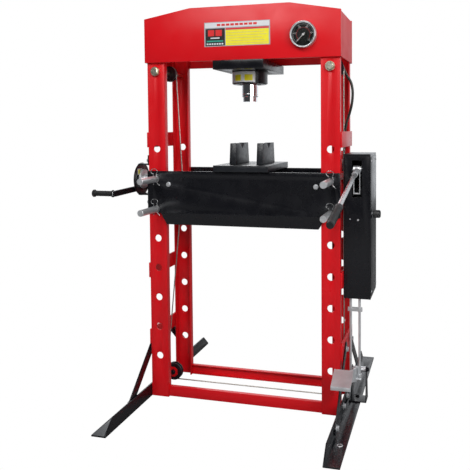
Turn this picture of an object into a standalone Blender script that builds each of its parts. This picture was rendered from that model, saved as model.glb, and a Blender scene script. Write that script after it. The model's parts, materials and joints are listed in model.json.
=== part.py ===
"""Two-column hydraulic shop press with a pinned, winch-lifted bed. Metres, +Z up, front towards -Y.

Every size is worked out in the press's own frame, whose Z axis runs up the ram. The whole press is then
set over by ORIGIN, so that the middle of its bounding box stands on the world's origin.
"""

import math

import bmesh
import bpy
from mathutils import Matrix, Vector

ORIGIN = (0.0210, 0.10031, 0.0)
FIT = 0.0003

# Columns: four channels with their webs to the front and rear
COLUMN_X = 0.411
COLUMN_WIDTH = 0.085
FRAME_DEPTH = 0.300
CHANNEL_DEPTH = 0.030
CHANNEL_WALL = 0.006
POST_TOP = 1.765
HOLE_PITCH = 0.140
HOLE_LOWEST = 0.197
HOLE_COUNT = 8
HOLE_RADIUS = 0.0165
POST_OUTER = COLUMN_X + COLUMN_WIDTH / 2
POST_INNER = COLUMN_X - COLUMN_WIDTH / 2
POST_FACE = FRAME_DEPTH / 2

# Side plates that tie each column's two channels
TIE_THICK = 0.0078
TIE_HEIGHT = 0.070
TIE_LOW_EDGES = {"upper": 1.184, "middle": 0.568, "lower": 0.250}
TIE_FACE = POST_OUTER + FIT + TIE_THICK

# Base
BAR_LOW = 0.004
BAR_HIGH = 0.052
BAR_Y = 0.136
BAR_WALL = 0.006
FOOT_HALF = 0.575
FOOT_FLANGE = 0.066
FOOT_HEIGHT = 0.060
FOOT_WALL = 0.0065
FOOT_TAPER = 0.065
ANCHOR_Y = 0.410
ANCHOR_RADIUS = 0.008
BRACE_WIDTH = 0.044
BRACE_THICK = 0.005
BRACE_FOOT = (0.345, 0.035)
BRACE_TIE = (0.066, 0.284)

# Head
HEAD_LOW = 1.576
HEAD_SHOULDER = 1.777
HEAD_TOP = 1.817
HEAD_HALF = 0.460
HEAD_FLAT_HALF = 0.234
PLATE_THICK = 0.014
PLATE_IN = POST_FACE + 0.0005
END_WALL = 0.006

# Cylinder, carriage plate and ram
CARRIAGE_HALF = (0.118, 0.180)
CARRIAGE_Z = (1.5355, 1.5755)
CYLINDER_RADIUS = 0.0835
CYLINDER_Z = (1.479, 1.760)
RAM_RADIUS = 0.0385
RAM_BORE = 0.0387
RAM_TIP_RADIUS = 0.034
RAM_Z = (1.395, 1.420, 1.735)

# Gauge
GAUGE_AT = (0.2975, 1.674)
GAUGE_RADIUS = 0.058
GAUGE_DEPTH = 0.022
GAUGE_GLASS_RADIUS = 0.051
NEEDLE_LENGTH = 0.039

# Bed
BED_HALF = 0.455
BED_TOP = 1.0745
BED_BOTTOM = 0.8265
BED_TAB_LOW = 0.879
BED_FLAT_HALF = 0.359
BED_STEP_HALF = 0.391
BED_THICK = 0.012
BED_IN = POST_FACE + 0.0015
SPACER_AT = (0.348, 1.013)
SPACER_RADIUS = 0.014
PRESS_PLATE_X = (-0.122, 0.137)
PRESS_PLATE_HALF_Y = 0.180
PRESS_PLATE_THICK = 0.029
BLOCK_THICK = 0.030
BLOCK_HALF_Y = 0.105
BLOCK_TOP_HALF_Y = 0.090
BLOCK_HEIGHT = 0.098
BLOCK_X = {"left": -0.070, "right": 0.060}
NOTCH_HALF = 0.030
NOTCH_DEPTH = 0.026

# Bed pins
PIN_RADIUS = 0.015
PIN_Y = (-0.325, 0.190)
PIN_HOLES = {"lower": 5, "upper": 6}

# Ropes and pulleys
ROPE_RADIUS = 0.003
UPPER_PULLEY_Z = 1.537
UPPER_PULLEY = (0.0375, 0.0345)
LOWER_PULLEY = (0.0425, 0.0390)
LOWER_PULLEY_AT = (0.4065, 0.066)
PULLEY_HALF_WIDTH = 0.011
AXLE_RADIUS = 0.009
AXLE_HEAD_RADIUS = 0.021

# Winch on the left column
WINCH_AXIS = (-0.060, 1.0275)
CRANK_AXIS = (-0.020, 0.984)
GUARD_RADIUS = 0.0775
GUARD_X = (-0.541, -0.535)
CHEEK_X = (-0.4375, -0.4335)
WINCH_FLANGE = 0.006
WINCH_FLANGE_Y = (-0.092, -0.036)
WINCH_EAR_Y = (-0.149, -0.036)
DRUM_RADIUS = 0.024
DRUM_X = (-0.5215, -0.441)
GEAR_RADIUS = 0.046
PINION_RADIUS = 0.012
GEAR_X = (-0.530, -0.5215)
CRANK_X = (-0.553, -0.547)
CRANK_REACH = 0.277
CRANK_HALF_WIDTH = 0.0135
GRIP_X = (-0.659, -0.557)

# Pump on the right column
CABINET_X = (0.4622, 0.5795)
CABINET_HALF_Y = 0.110
CABINET_Z = (0.517, 1.155)
CABINET_WALL = 0.003
SLOT_X = (0.499, 0.541)
SLOT_Z = (0.965, 1.128)
LEVER_PIVOT = (0.520, -0.092, 1.088)
HANDLE_SLOPE = math.radians(11.9)
HANDLE_RADIUS = 0.0095
HANDLE_REACH = (0.030, 0.690)
GRIP_REACH = (0.505, 0.692)
KNOB_AT = (-0.060, 0.889)
KNOB_RADIUS = 0.0165
KNOB_X = (0.585, 0.618)
ROD_X = (0.4895, 0.5290)
ROD_Y = -0.090
ROD_RADIUS = 0.0055
ROD_TOP = 0.585
PEDAL_PIVOT = (0.512, 0.030, 0.150)
PEDAL_X = (0.4420, 0.5250)
PEDAL_Y = (-0.338, -0.247)
PEDAL_Z = (0.207, 0.245)
PEDAL_THICK = 0.004
HOSE_RADIUS = 0.006
HOSE_ROUTE = (
    (0.084, 0.040, 1.620),
    (0.120, 0.044, 1.632),
    (0.200, 0.052, 1.640),
    (0.290, 0.054, 1.640),
    (0.350, 0.053, 1.636),
    (0.394, 0.052, 1.618),
    (0.420, 0.051, 1.584),
    (0.435, 0.050, 1.547),
    (0.450, 0.050, 1.515),
    (0.470, 0.050, 1.482),
    (0.478, 0.050, 1.449),
    (0.479, 0.050, 1.417),
    (0.475, 0.050, 1.379),
    (0.465, 0.050, 1.338),
    (0.452, 0.050, 1.300),
    (0.443, 0.050, 1.255),
    (0.440, 0.050, 1.205),
    (0.4385, 0.050, 1.160),
    (0.438, 0.050, 1.130),
    (0.438, 0.050, 1.100),
)
ELBOW_Z = 1.077
ELBOW_RADIUS = 0.008

RED = ((0.72, 0.012, 0.018), 0.0, 0.25)
BLACK = ((0.006, 0.006, 0.009), 0.0, 0.30)
ZINC = ((0.62, 0.63, 0.65), 1.0, 0.35)
CHROME = ((0.80, 0.81, 0.83), 1.0, 0.08)
STEEL = ((0.30, 0.30, 0.31), 1.0, 0.45)
RUBBER = ((0.012, 0.012, 0.014), 0.0, 0.65)
WHITE = ((0.85, 0.85, 0.85), 0.0, 0.40)


def clear_scene():
    for obj in list(bpy.data.objects):
        bpy.data.objects.remove(obj, do_unlink=True)


def collection(name):
    made = bpy.data.collections.new(name)
    bpy.context.scene.collection.children.link(made)
    return made


def origin_empty(parts):
    empty = bpy.data.objects.new("press_frame", None)
    empty.location = ORIGIN
    parts.objects.link(empty)
    return empty


clear_scene()
PARTS = collection("shop_press")
CUTTERS = collection("cutters")
FRAME = origin_empty(PARTS)


def painted(name, finish):
    """A Principled material of this piece's own."""
    colour, metallic, roughness = finish
    material = bpy.data.materials.new(name)
    material.use_nodes = True
    shader = material.node_tree.nodes["Principled BSDF"]
    shader.inputs["Base Color"].default_value = (*colour, 1.0)
    shader.inputs["Metallic"].default_value = metallic
    shader.inputs["Roughness"].default_value = roughness
    return material


def place(name, mesh, at, finish, turn=None):
    """An object in the press's frame. With no finish it is a cutter or a piece to be joined."""
    obj = bpy.data.objects.new(name, mesh)
    obj.parent = FRAME
    obj.location = at
    if turn is not None:
        obj.rotation_euler = turn
    if finish is None:
        CUTTERS.objects.link(obj)
        obj.hide_render = True
        obj.display_type = "WIRE"
    else:
        PARTS.objects.link(obj)
        obj.data.materials.append(painted(name, finish))
    return obj


def box(name, low, high, finish=None):
    low, high = Vector(low), Vector(high)
    bm = bmesh.new()
    bmesh.ops.create_cube(bm, size=1.0)
    bmesh.ops.scale(bm, vec=high - low, verts=bm.verts)
    mesh = bpy.data.meshes.new(name)
    bm.to_mesh(mesh)
    bm.free()
    return place(name, mesh, (low + high) / 2, finish)


def bar(name, start, end, radius, finish=None, sides=20):
    """A round bar from start to end."""
    start, end = Vector(start), Vector(end)
    run = end - start
    bm = bmesh.new()
    bmesh.ops.create_cone(bm, cap_ends=True, segments=sides, radius1=radius, radius2=radius, depth=run.length)
    mesh = bpy.data.meshes.new(name)
    bm.to_mesh(mesh)
    bm.free()
    mesh.shade_smooth()
    mesh.set_sharp_from_angle(angle=math.radians(40))
    return place(name, mesh, (start + end) / 2, finish, run.to_track_quat("Z", "Y").to_euler())


def turned(name, profile, at, axis, finish=None, sides=28):
    """A profile of (radius, height) points turned about the axis through at, from the top down its outer side."""
    bm = bmesh.new()
    points = [bm.verts.new((radius, 0.0, height)) for radius, height in profile]
    for one, other in zip(points, points[1:]):
        bm.edges.new((one, other))
    if profile[0][0] > 0:
        bm.edges.new((points[-1], points[0]))
    mesh = bpy.data.meshes.new(name)
    bm.to_mesh(mesh)
    bm.free()
    obj = place(name, mesh, at, finish, Vector(axis).to_track_quat("Z", "Y").to_euler())
    screw = obj.modifiers.new("turn", "SCREW")
    screw.steps = sides
    screw.render_steps = sides
    screw.use_merge_vertices = True
    screw.merge_threshold = 0.00001
    screw.use_smooth_shade = False
    return obj


def circle(centre, radius, sides=20):
    steps = [2 * math.pi * n / sides for n in range(sides)]
    return [(centre[0] + radius * math.cos(a), centre[1] + radius * math.sin(a)) for a in steps]


PLANES = {
    "XY": Matrix.Identity(3),
    "XZ": Matrix(((1, 0, 0), (0, 0, -1), (0, 1, 0))),
    "YZ": Matrix(((0, 0, 1), (1, 0, 0), (0, 1, 0))),
}


def plate(name, outline, plane, low, high, finish=None, holes=()):
    """A flat piece: an outline in one plane, with holes, between two levels of the third axis."""
    curve = bpy.data.curves.new(name, "CURVE")
    curve.dimensions = "2D"
    curve.fill_mode = "BOTH"
    curve.extrude = (high - low) / 2
    for ring in (outline, *holes):
        spline = curve.splines.new("POLY")
        spline.points.add(len(ring) - 1)
        spline.use_cyclic_u = True
        for point, (u, v) in zip(spline.points, ring):
            point.co = (u, v, 0.0, 1.0)
    flat = bpy.data.objects.new(name, curve)
    CUTTERS.objects.link(flat)
    graph = bpy.context.evaluated_depsgraph_get()
    mesh = bpy.data.meshes.new_from_object(flat.evaluated_get(graph))
    bpy.data.objects.remove(flat, do_unlink=True)
    bm = bmesh.new()
    bm.from_mesh(mesh)
    bmesh.ops.remove_doubles(bm, verts=bm.verts, dist=0.00001)
    bmesh.ops.recalc_face_normals(bm, faces=bm.faces)
    bmesh.ops.transform(bm, matrix=PLANES[plane].to_4x4(), verts=bm.verts)
    bm.to_mesh(mesh)
    bm.free()
    mesh.name = name
    mesh.materials.clear()
    normal = PLANES[plane] @ Vector((0, 0, 1))
    across = Vector([abs(c) for c in normal])
    return place(name, mesh, across * (low + high) / 2, finish)


def tube(name, points, radius, finish, resolution=2):
    """A rope or hose: a round section swept along points."""
    curve = bpy.data.curves.new(name, "CURVE")
    curve.dimensions = "3D"
    curve.bevel_depth = radius
    curve.bevel_resolution = resolution
    curve.use_fill_caps = True
    spline = curve.splines.new("POLY")
    spline.points.add(len(points) - 1)
    for point, co in zip(spline.points, points):
        point.co = (*co, 1.0)
    return place(name, curve, (0, 0, 0), finish)


def combine(obj, operation, *others):
    for number, other in enumerate(others):
        modifier = obj.modifiers.new(f"{operation.lower()}_{number}", "BOOLEAN")
        modifier.operation = operation
        modifier.object = other
    return obj


def join(obj, *others):
    return combine(obj, "UNION", *others)


def cut(obj, *others):
    return combine(obj, "DIFFERENCE", *others)


def smooth_route(points, per_span):
    """A Catmull-Rom curve through the points, which is smooth where it passes each one."""
    points = [Vector(p) for p in points]
    ends = [2 * points[0] - points[1], *points, 2 * points[-1] - points[-2]]
    route = []
    for a, b, c, d in zip(ends, ends[1:], ends[2:], ends[3:]):
        for n in range(per_span):
            t = n / per_span
            route.append(
                0.5 * (2 * b + (c - a) * t + (2 * a - 5 * b + 4 * c - d) * t**2 + (3 * b - a - 3 * c + d) * t**3)
            )
    return [*route, points[-1]]


def hole_height(number):
    return HOLE_LOWEST + HOLE_PITCH * number


def make_post(side_name, side, end_name, end):
    """One channel: its web faces out along Y, with the pin holes and the axle hole through it."""
    face, back, inside = POST_FACE, POST_FACE - CHANNEL_DEPTH, POST_FACE - CHANNEL_WALL
    inner, outer = POST_INNER, POST_OUTER
    section = [
        (inner, face),
        (outer, face),
        (outer, back),
        (outer - CHANNEL_WALL, back),
        (outer - CHANNEL_WALL, inside),
        (inner + CHANNEL_WALL, inside),
        (inner + CHANNEL_WALL, back),
        (inner, back),
    ]
    name = f"post_{end_name}_{side_name}"
    post = plate(name, [(side * x, end * y) for x, y in section], "XY", FIT, POST_TOP, RED)
    x, near, far = side * COLUMN_X, end * (POST_FACE + 0.01), end * (POST_FACE - 0.02)
    drills = [
        bar(f"{name}_drill_{n}", (x, near, hole_height(n)), (x, far, hole_height(n)), HOLE_RADIUS)
        for n in range(HOLE_COUNT)
    ]
    drills.append(
        bar(f"{name}_axle_drill", (x, near, UPPER_PULLEY_Z), (x, far, UPPER_PULLEY_Z), AXLE_RADIUS + FIT)
    )
    cut(post, *drills)


def make_ties(side_name, side):
    for level, low in TIE_LOW_EDGES.items():
        xs = sorted((side * (POST_OUTER + FIT), side * TIE_FACE))
        box(
            f"tie_{side_name}_{level}",
            (xs[0], -POST_FACE, low),
            (xs[1], POST_FACE, low + TIE_HEIGHT),
            RED,
        )


def make_base_bar(end_name, end):
    """A channel between the two columns at floor level, open to the inside."""
    half = POST_INNER - FIT
    face, back, inside = BAR_Y + 0.010, BAR_Y - 0.010, BAR_Y + 0.010 - BAR_WALL
    section = [
        (face, BAR_LOW),
        (face, BAR_HIGH),
        (back, BAR_HIGH),
        (back, BAR_HIGH - BAR_WALL),
        (inside, BAR_HIGH - BAR_WALL),
        (inside, BAR_LOW + BAR_WALL),
        (back, BAR_LOW + BAR_WALL),
        (back, BAR_LOW),
    ]
    plate(f"base_bar_{end_name}", [(end * y, z) for y, z in section], "YZ", -half, half, RED)


def make_foot(side_name, side):
    """An angle along Y: the upright leg bolts to the column, and the flat leg spreads outwards."""
    near, far = side * (POST_OUTER + FIT), side * (POST_OUTER + FIT + FOOT_WALL)
    upright = [
        (-FOOT_HALF, 0.0),
        (FOOT_HALF, 0.0),
        (FOOT_HALF, FOOT_WALL),
        (FOOT_HALF - FOOT_TAPER, FOOT_HEIGHT),
        (-FOOT_HALF + FOOT_TAPER, FOOT_HEIGHT),
        (-FOOT_HALF, FOOT_WALL),
    ]
    foot = plate(f"foot_{side_name}", upright, "YZ", *sorted((near, far)), BLACK)
    edges = sorted((side * (POST_OUTER + FIT), side * (POST_OUTER + FIT + FOOT_FLANGE)))
    anchor_x = side * (POST_OUTER + 0.039)
    flat = plate(
        f"foot_{side_name}_flat",
        [(edges[0], -FOOT_HALF), (edges[1], -FOOT_HALF), (edges[1], FOOT_HALF), (edges[0], FOOT_HALF)],
        "XY",
        0.0,
        FOOT_WALL,
        holes=[circle((anchor_x, end * ANCHOR_Y), ANCHOR_RADIUS, 16) for end in (-1, 1)],
    )
    join(foot, flat)


def make_brace(side_name, side, end_name, end):
    """A flat stay from the foot up to the lower side plate, with rounded ends."""
    low, high = Vector(BRACE_FOOT), Vector(BRACE_TIE)
    along = (high - low).normalized()
    angle = math.atan2(along.y, along.x)
    radius, steps = BRACE_WIDTH / 2, 8
    outline = []
    for centre, start in ((high, angle - math.pi / 2), (low, angle + math.pi / 2)):
        for n in range(steps + 1):
            a = start + math.pi * n / steps
            outline.append((centre.x + radius * math.cos(a), centre.y + radius * math.sin(a)))
    xs = sorted((side * (TIE_FACE + FIT), side * (TIE_FACE + FIT + BRACE_THICK)))
    plate(f"brace_{side_name}_{end_name}", [(end * y, z) for y, z in outline], "YZ", *xs, BLACK)


def make_head():
    outline = [
        (-HEAD_HALF, HEAD_LOW),
        (HEAD_HALF, HEAD_LOW),
        (HEAD_HALF, HEAD_SHOULDER),
        (HEAD_FLAT_HALF, HEAD_TOP),
        (-HEAD_FLAT_HALF, HEAD_TOP),
        (-HEAD_HALF, HEAD_SHOULDER),
    ]
    plate("head_plate_front", outline, "XZ", -PLATE_IN - PLATE_THICK, -PLATE_IN, RED)
    rear = plate("head_plate_rear", outline, "XZ", PLATE_IN, PLATE_IN + PLATE_THICK, RED)
    ends = []
    for side_name, side in (("left", -1), ("right", 1)):
        xs = sorted((side * (POST_OUTER + FIT), side * (POST_OUTER + FIT + END_WALL)))
        low, high = HEAD_LOW, HEAD_SHOULDER - 0.006
        ends.append(
            box(f"head_end_{side_name}", (xs[0], -PLATE_IN + FIT, low), (xs[1], PLATE_IN + 0.005, high))
        )
    join(rear, *ends)


def make_cylinder():
    (hx, hy), (low, high) = CARRIAGE_HALF, CARRIAGE_Z
    plate(
        "carriage_plate",
        [(-hx, -hy), (hx, -hy), (hx, hy), (-hx, hy)],
        "XY",
        low,
        high,
        BLACK,
        holes=[circle((0, 0), CYLINDER_RADIUS + 0.0012, 40)],
    )
    base, top = CYLINDER_Z
    turned(
        "cylinder_body",
        [
            (0.0, top),
            (CYLINDER_RADIUS, top),
            (CYLINDER_RADIUS, base),
            (RAM_BORE, base),
            (RAM_BORE, RAM_Z[2] + 0.004),
            (0.0, RAM_Z[2] + 0.004),
        ],
        (0, 0, 0),
        (0, 0, 1),
        BLACK,
        40,
    )
    tip, step, end = RAM_Z
    turned(
        "ram",
        [(0.0, end), (RAM_RADIUS, end), (RAM_RADIUS, step), (RAM_TIP_RADIUS, step - 0.004), (RAM_TIP_RADIUS, tip), (0.0, tip)],
        (0, 0, 0),
        (0, 0, 1),
        CHROME,
        36,
    )


def make_gauge():
    x, z = GAUGE_AT
    back = -PLATE_IN - PLATE_THICK - FIT
    turned(
        "gauge_case",
        [
            (0.0, 0.010),
            (GAUGE_GLASS_RADIUS, 0.010),
            (GAUGE_GLASS_RADIUS, GAUGE_DEPTH),
            (GAUGE_RADIUS, GAUGE_DEPTH),
            (GAUGE_RADIUS, 0.0),
            (0.0, 0.0),
        ],
        (x, back, z),
        (0, -1, 0),
        ZINC,
        36,
    )
    front = back - 0.010 - 0.002
    pointer = plate(
        "gauge_needle",
        [(-0.010, -0.0022), (NEEDLE_LENGTH, -0.0006), (NEEDLE_LENGTH, 0.0006), (-0.010, 0.0022)],
        "XZ",
        -0.001,
        0.001,
        WHITE,
    )
    pointer.location = (x, front, z)
    pointer.rotation_euler = (0, math.radians(135), 0)
    hub = bar("gauge_needle_hub", (x, front - 0.003, z), (x, front + 0.0015, z), 0.005, sides=16)
    join(pointer, hub)


def bed_outline():
    return [
        (-BED_FLAT_HALF, BED_BOTTOM),
        (BED_FLAT_HALF, BED_BOTTOM),
        (BED_STEP_HALF, BED_TAB_LOW),
        (BED_HALF, BED_TAB_LOW),
        (BED_HALF, BED_TOP),
        (-BED_HALF, BED_TOP),
        (-BED_HALF, BED_TAB_LOW),
        (-BED_STEP_HALF, BED_TAB_LOW),
    ]


def make_bed():
    holes = [
        circle((side * COLUMN_X, hole_height(n)), HOLE_RADIUS - 0.0005)
        for side in (-1, 1)
        for n in PIN_HOLES.values()
    ]
    for end_name, ys in (("front", (-BED_IN - BED_THICK, -BED_IN)), ("rear", (BED_IN, BED_IN + BED_THICK))):
        plate(f"bed_plate_{end_name}", bed_outline(), "XZ", *ys, BLACK, holes=holes)
    for side_name, side in (("left", -1), ("right", 1)):
        x, z = side * SPACER_AT[0], SPACER_AT[1]
        reach = BED_IN - FIT
        bar(f"bed_spacer_{side_name}", (x, -reach, z), (x, reach, z), SPACER_RADIUS, BLACK, 20)


def make_press_plate():
    low = BED_TOP + FIT
    x0, x1 = PRESS_PLATE_X
    box(
        "press_plate",
        (x0, -PRESS_PLATE_HALF_Y, low),
        (x1, PRESS_PLATE_HALF_Y, low + PRESS_PLATE_THICK),
        BLACK,
    )
    base = low + PRESS_PLATE_THICK + FIT
    top = base + BLOCK_HEIGHT
    outline = [
        (-BLOCK_HALF_Y, base),
        (BLOCK_HALF_Y, base),
        (BLOCK_TOP_HALF_Y, top),
        (NOTCH_HALF, top),
        (0.0, top - NOTCH_DEPTH),
        (-NOTCH_HALF, top),
        (-BLOCK_TOP_HALF_Y, top),
    ]
    for side_name, x in BLOCK_X.items():
        plate(f"v_block_{side_name}", outline, "YZ", x, x + BLOCK_THICK, BLACK)


def make_pins():
    for side_name, side in (("left", -1), ("right", 1)):
        for level, number in PIN_HOLES.items():
            z, (front, rear) = hole_height(number), PIN_Y
            turned(
                f"pin_{side_name}_{level}",
                [
                    (0.0, rear),
                    (PIN_RADIUS - 0.004, rear),
                    (PIN_RADIUS, rear - 0.006),
                    (PIN_RADIUS, front + 0.002),
                    (PIN_RADIUS - 0.002, front),
                    (0.0, front),
                ],
                (side * COLUMN_X, 0, z),
                (0, 1, 0),
                ZINC,
                20,
            )


def pulley_profile(rim, rope, half, shaft_radius, shaft_half):
    """Half of a grooved wheel with a stub of shaft on each side, from one end of the shaft to the other."""
    floor, shoulder = rope - ROPE_RADIUS - 0.0008, 0.0045
    return [
        (0.0, shaft_half),
        (shaft_radius, shaft_half),
        (shaft_radius, half),
        (rim, half),
        (rim, shoulder + 0.001),
        (floor, shoulder),
        (floor, -shoulder),
        (rim, -shoulder - 0.001),
        (rim, -half),
        (shaft_radius, -half),
        (shaft_radius, -shaft_half),
        (0.0, -shaft_half),
    ]


def make_pulleys():
    for side_name, side in (("left", -1), ("right", 1)):
        x = side * COLUMN_X
        reach = POST_FACE + 0.012
        axle = bar(
            f"pulley_axle_{side_name}",
            (x, -reach, UPPER_PULLEY_Z),
            (x, reach, UPPER_PULLEY_Z),
            AXLE_RADIUS,
            ZINC,
        )
        caps = [
            bar(
                f"pulley_axle_{side_name}_cap_{end}",
                (x, end * (POST_FACE + FIT), UPPER_PULLEY_Z),
                (x, end * reach, UPPER_PULLEY_Z),
                AXLE_HEAD_RADIUS,
                sides=24,
            )
            for end in (-1, 1)
        ]
        join(axle, *caps)
        rim, rope = UPPER_PULLEY
        bore, half = AXLE_RADIUS + FIT, PULLEY_HALF_WIDTH
        ring = [point for point in pulley_profile(rim, rope, half, bore, half) if point[0] > 0]
        turned(f"pulley_upper_{side_name}", ring[1:-1], (x, 0, UPPER_PULLEY_Z), (0, 1, 0), BLACK)
        rim, rope = LOWER_PULLEY
        x, z = side * LOWER_PULLEY_AT[0], LOWER_PULLEY_AT[1]
        turned(
            f"pulley_lower_{side_name}",
            pulley_profile(rim, rope, half, 0.008, 0.024),
            (x, 0, z),
            (0, 1, 0),
            BLACK,
        )


def arc(centre, radius, start, end, steps):
    """Points of an arc in the XZ plane, in degrees from +X towards +Z."""
    found = []
    for n in range(steps + 1):
        a = math.radians(start + (end - start) * n / steps)
        found.append((centre[0] + radius * math.cos(a), 0.0, centre[1] + radius * math.sin(a)))
    return found


def make_ropes():
    """The lift rope runs from the winch over the upper left pulley to the bed. The synchronising rope runs
    from the bed's left end under both lower pulleys and over the upper right one to its right end."""
    upper, lower = UPPER_PULLEY[1], LOWER_PULLEY[1]
    x_low, z_low = LOWER_PULLEY_AT
    anchor_x, anchor_z = SPACER_AT[0] + 0.002, SPACER_AT[1]
    above, below = anchor_z + SPACER_RADIUS + 0.0005, anchor_z - SPACER_RADIUS - 0.0005
    drum_y, drum_z = WINCH_AXIS
    drum_end = (-0.449, drum_y + DRUM_RADIUS + ROPE_RADIUS + 0.0006, drum_z)
    over_left = arc((-COLUMN_X, UPPER_PULLEY_Z), upper, 180, 0, 14)
    tube("rope_winch", [drum_end, *over_left], ROPE_RADIUS, STEEL)
    fixed = arc((-x_low, z_low), lower, 180, 270, 8)
    fixed += arc((x_low, z_low), lower, 270, 360, 8)
    fixed += arc((COLUMN_X, UPPER_PULLEY_Z), upper, 0, 180, 14)
    tube("rope_sync", fixed, ROPE_RADIUS, STEEL)
    gap = 0.0006
    for side_name, side in (("left", -1), ("right", 1)):
        top = (side * (COLUMN_X - upper), 0.0, UPPER_PULLEY_Z - gap)
        tube(f"rope_lift_{side_name}", [top, (side * anchor_x, 0.0, above)], ROPE_RADIUS, STEEL)
    start = (-x_low - lower, 0.0, z_low + gap)
    tube("rope_sync_left", [start, (-anchor_x, 0.0, below)], ROPE_RADIUS, STEEL)


def make_winch():
    y, z = WINCH_AXIS
    cy, cz = CRANK_AXIS
    outer, inner = GUARD_X
    frame = plate(
        "winch_frame",
        circle((y, z), GUARD_RADIUS, 40),
        "YZ",
        outer,
        inner,
        BLACK,
        holes=[circle((y, z), 0.0095, 16), circle((cy, cz), 0.0080, 16)],
    )
    top, bottom = z + GUARD_RADIUS - 0.008, z - GUARD_RADIUS + 0.002
    y0, y1 = WINCH_FLANGE_Y
    walls = []
    for level, low in (("top", top), ("bottom", bottom)):
        walls.append(
            box(f"winch_flange_{level}", (outer + 0.001, y0, low), (CHEEK_X[1], y1, low + WINCH_FLANGE))
        )
    cheek = plate(
        "winch_cheek",
        [(y0, bottom + 0.001), (-0.004, bottom + 0.001), (-0.004, top - 0.060), (y1, top + 0.005), (y0, top + 0.005)],
        "YZ",
        *CHEEK_X,
        holes=[circle((y, z), 0.0095, 16), circle((cy, cz), 0.0080, 16)],
    )
    for level, low, high in (("top", top + 0.003, top + 0.050), ("bottom", bottom - 0.045, bottom + 0.003)):
        xs = (-POST_OUTER - FIT - 0.006, -POST_OUTER - FIT)
        walls.append(
            box(f"winch_ear_{level}", (xs[0], WINCH_EAR_Y[0], low), (xs[1], WINCH_EAR_Y[1], high))
        )
    join(frame, *walls, cheek)
    x0, x1 = DRUM_X
    turned(
        "winch_drum",
        [
            (0.0, -0.428),
            (0.0090, -0.428),
            (0.0090, x1),
            (0.038, x1),
            (0.038, x1 - 0.0025),
            (DRUM_RADIUS, x1 - 0.0025),
            (DRUM_RADIUS, x0),
            (GEAR_RADIUS, x0),
            (GEAR_RADIUS, GEAR_X[0]),
            (0.0090, GEAR_X[0]),
            (0.0090, outer - 0.003),
            (0.0, outer - 0.003),
        ],
        (0, y, z),
        (1, 0, 0),
        ZINC,
    )
    far_y = cy - CRANK_REACH
    outline = []
    for centre, start in (((cy, cz), -math.pi / 2), ((far_y, cz - 0.005), math.pi / 2)):
        for n in range(8):
            a = start + math.pi * n / 7
            outline.append((centre[0] + CRANK_HALF_WIDTH * math.cos(a), centre[1] + CRANK_HALF_WIDTH * math.sin(a)))
    crank = plate("winch_crank", outline, "YZ", *CRANK_X, BLACK)
    shaft = turned(
        "winch_crank_shaft",
        [
            (0.0, -0.428),
            (0.0075, -0.428),
            (0.0075, GEAR_X[1]),
            (PINION_RADIUS, GEAR_X[1]),
            (PINION_RADIUS, GEAR_X[0]),
            (0.0075, GEAR_X[0]),
            (0.0075, CRANK_X[0] - 0.006),
            (0.0, CRANK_X[0] - 0.006),
        ],
        (0, cy, cz),
        (1, 0, 0),
        sides=20,
    )
    spindle = bar(
        "winch_crank_spindle",
        (CRANK_X[1] - 0.0025, far_y, cz - 0.005),
        (GRIP_X[0] - 0.001, far_y, cz - 0.005),
        0.005,
        sides=14,
    )
    join(crank, spindle, shaft)
    tip, root = GRIP_X
    turned(
        "winch_grip",
        [
            (0.0055, root),
            (0.0165, root),
            (0.0165, root - 0.004),
            (0.0125, root - 0.006),
            (0.0120, tip + 0.012),
            (0.0170, tip + 0.009),
            (0.0170, tip + 0.003),
            (0.0140, tip),
            (0.0055, tip),
        ],
        (0, far_y, cz - 0.005),
        (1, 0, 0),
        RUBBER,
        24,
    )


def make_pump_cabinet():
    """A sheet box, open underneath, with a slot in its front for the lever."""
    (x0, x1), hy, (z0, z1), wall = CABINET_X, CABINET_HALF_Y, CABINET_Z, CABINET_WALL
    cabinet = box("pump_cabinet", (x0, -hy, z0), (x1, hy, z1), BLACK)
    hollow = box("pump_cabinet_hollow", (x0 + wall, -hy + wall, z0 - 0.01), (x1 - wall, hy - wall, z1 - wall))
    slot = box("pump_cabinet_slot", (SLOT_X[0], -hy - 0.01, SLOT_Z[0]), (SLOT_X[1], -hy + 0.01, SLOT_Z[1]))
    ky, kz = KNOB_AT
    knob_hole = bar("pump_cabinet_knob_hole", (x1 - 0.01, ky, kz), (x1 + 0.01, ky, kz), 0.0075, sides=16)
    hx, hy_hose, top = HOSE_ROUTE[-1]
    outlet_hole = bar(
        "pump_cabinet_outlet_hole", (x0 - 0.01, hy_hose, ELBOW_Z), (x0 + 0.01, hy_hose, ELBOW_Z), ELBOW_RADIUS + 0.0005, sides=16
    )
    cut(cabinet, hollow, slot, knob_hole, outlet_hole)
    block = box("pump_body", (x0 + 0.008, -0.030, 0.640), (x1 - 0.008, hy - 0.012, 1.000), BLACK)
    barrel = bar("pump_body_barrel", (0.520, -0.055, 0.700), (0.520, -0.055, 0.930), 0.022)
    bridge = box("pump_body_bridge", (0.508, -0.056, 0.760), (0.532, -0.020, 0.800))
    riser = box("pump_body_riser", (x0 + 0.008, hy_hose - 0.020, 0.990), (x0 + 0.032, hy_hose + 0.020, ELBOW_Z + 0.015))
    arm = bar("pump_body_arm", (x0 + 0.012, hy_hose, ELBOW_Z), (hx, hy_hose, ELBOW_Z), ELBOW_RADIUS - 0.001, sides=16)
    elbow = bar("pump_body_elbow", (hx, hy_hose, ELBOW_Z - ELBOW_RADIUS), (hx, hy_hose, top - FIT), ELBOW_RADIUS, sides=16)
    join(block, bridge, barrel, riser, arm, elbow)


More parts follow.
